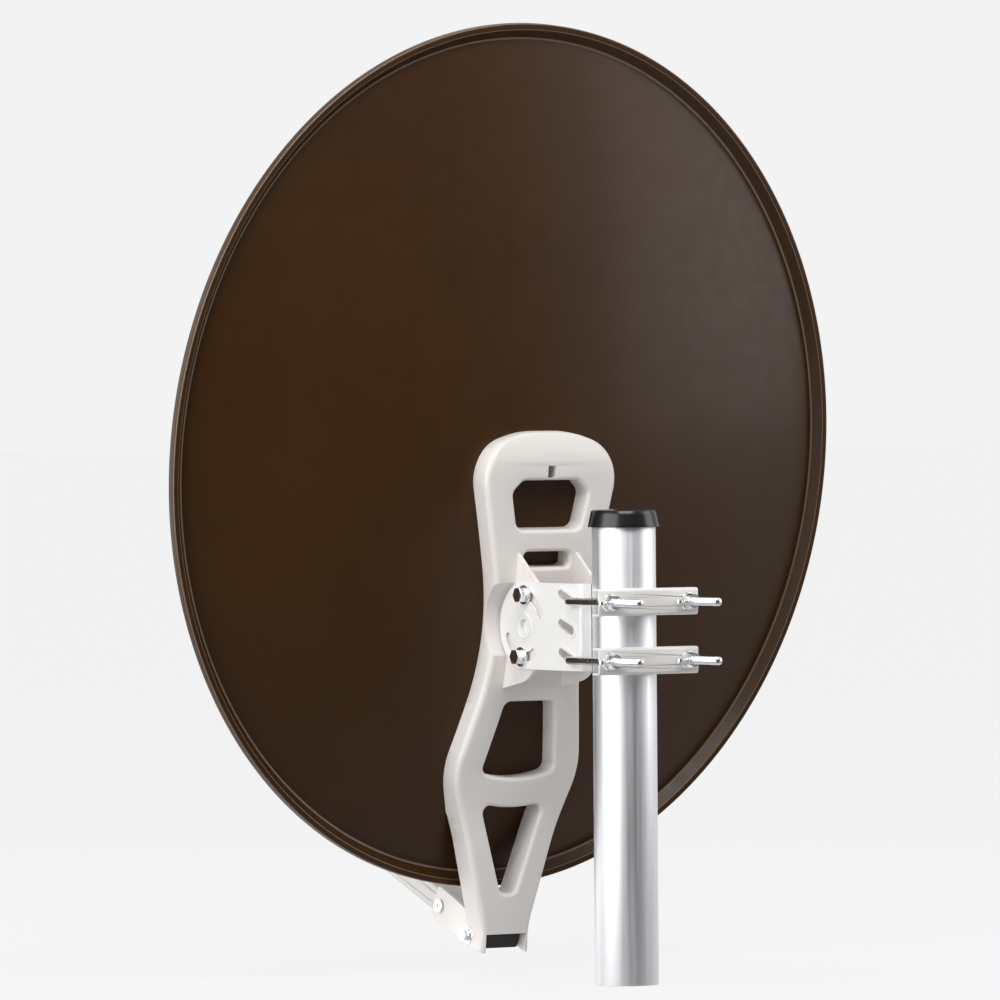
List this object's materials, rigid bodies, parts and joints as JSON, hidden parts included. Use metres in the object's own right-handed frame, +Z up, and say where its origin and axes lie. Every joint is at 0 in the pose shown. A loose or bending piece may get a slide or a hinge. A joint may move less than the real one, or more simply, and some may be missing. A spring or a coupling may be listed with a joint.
{
  "type": "satellite dish",
  "caption": "Offset satellite dish with a hollow rear support, tilting clamp on a mast head, hook bolts with wing nuts, and a folding feed arm ending in a round collar.",
  "frame": {"origin": "centre of the mast's foot, at the end of the tube", "axes": "+Z up the mast, +Y the way the dish faces, +X across the dish"},
  "size_m": [0.7442, 0.7663, 0.9065],
  "materials": {
    "mast_aluminium": "drawn, satin",
    "cap_plastic": "moulded, glossy",
    "bracket_paint": "light grey powder coat",
    "yoke_paint": "light grey powder coat",
    "zinc_plate": "bright zinc plate",
    "zinc_thread": "zinc plated, threaded",
    "zinc_cast": "zinc die casting, slightly rough",
    "dish_brown": "semi-gloss brown powder coat",
    "screw_brown": "painted with the dish",
    "spine_grey": "warm light grey paint on a casting",
    "arm_grey": "warm light grey powder coat",
    "plug_plastic": "moulded, black",
    "holder_plastic": "moulded, dark grey"
  },
  "bodies": {
    "mast": {"mast_tube": "mast_aluminium", "mast_cap": "cap_plastic"},
    "clamp": {"mast_bracket": "bracket_paint", "clamp_yoke_upper": "yoke_paint", "clamp_yoke_lower": "yoke_paint", "hook_bolt_upper_left": "zinc_thread", "hook_bolt_upper_right": "zinc_thread", "hook_bolt_lower_left": "zinc_thread", "hook_bolt_lower_right": "zinc_thread", "rod_washer_upper_left": "zinc_plate", "rod_washer_upper_right": "zinc_plate", "rod_washer_lower_left": "zinc_plate", "rod_washer_lower_right": "zinc_plate"},
    "wing_upper_left": {"wing_nut_upper_left": "zinc_cast"},
    "wing_upper_right": {"wing_nut_upper_right": "zinc_cast"},
    "wing_lower_left": {"wing_nut_lower_left": "zinc_cast"},
    "wing_lower_right": {"wing_nut_lower_right": "zinc_cast"},
    "dish": {"reflector": "dish_brown", "reflector_screws": "screw_brown", "spine": "spine_grey", "elevation_bolt_upper_left": "zinc_thread", "elevation_bolt_upper_right": "zinc_thread", "elevation_bolt_lower_left": "zinc_thread", "elevation_bolt_lower_right": "zinc_thread", "elevation_nut_upper_left": "zinc_plate", "elevation_nut_upper_right": "zinc_plate", "elevation_nut_lower_left": "zinc_plate", "elevation_nut_lower_right": "zinc_plate", "arm_rivet": "zinc_plate", "lock_screw_left": "zinc_thread", "lock_screw_right": "zinc_thread", "lock_washer_left": "zinc_plate", "lock_washer_right": "zinc_plate"},
    "arm": {"feed_arm": "arm_grey", "arm_rear_plug": "plug_plastic", "lnb_holder": "holder_plastic", "lnb_clamp_cap": "holder_plastic", "collar_screws": "zinc_thread"}
  },
  "joints": [
    {"name": "azimuth", "type": "hinge", "parent": "mast", "child": "clamp", "pos_m": [0, 0, 0.332], "axis": [0, 0, 1], "range_deg": [-180, 180]},
    {"name": "wing_spin_upper_left", "type": "hinge", "parent": "clamp", "child": "wing_upper_left", "pos_m": [-0.044, -0.05, 0.3593], "axis": [0, 1, 0], "continuous": true},
    {"name": "wing_spin_upper_right", "type": "hinge", "parent": "clamp", "child": "wing_upper_right", "pos_m": [0.044, -0.05, 0.3593], "axis": [0, 1, 0], "continuous": true},
    {"name": "wing_spin_lower_left", "type": "hinge", "parent": "clamp", "child": "wing_lower_left", "pos_m": [-0.044, -0.05, 0.3043], "axis": [0, 1, 0], "continuous": true},
    {"name": "wing_spin_lower_right", "type": "hinge", "parent": "clamp", "child": "wing_lower_right", "pos_m": [0.044, -0.05, 0.3043], "axis": [0, 1, 0], "continuous": true},
    {"name": "elevation", "type": "hinge", "parent": "clamp", "child": "dish", "pos_m": [0, 0.114, 0.335], "axis": [1, 0, 0], "range_deg": [-27, 33]},
    {"name": "arm_fold", "type": "hinge", "parent": "dish", "child": "arm", "pos_m": [0, 0.2826, 0.0629], "axis": [1, 0, 0], "range_deg": [0, 70]}
  ]
}
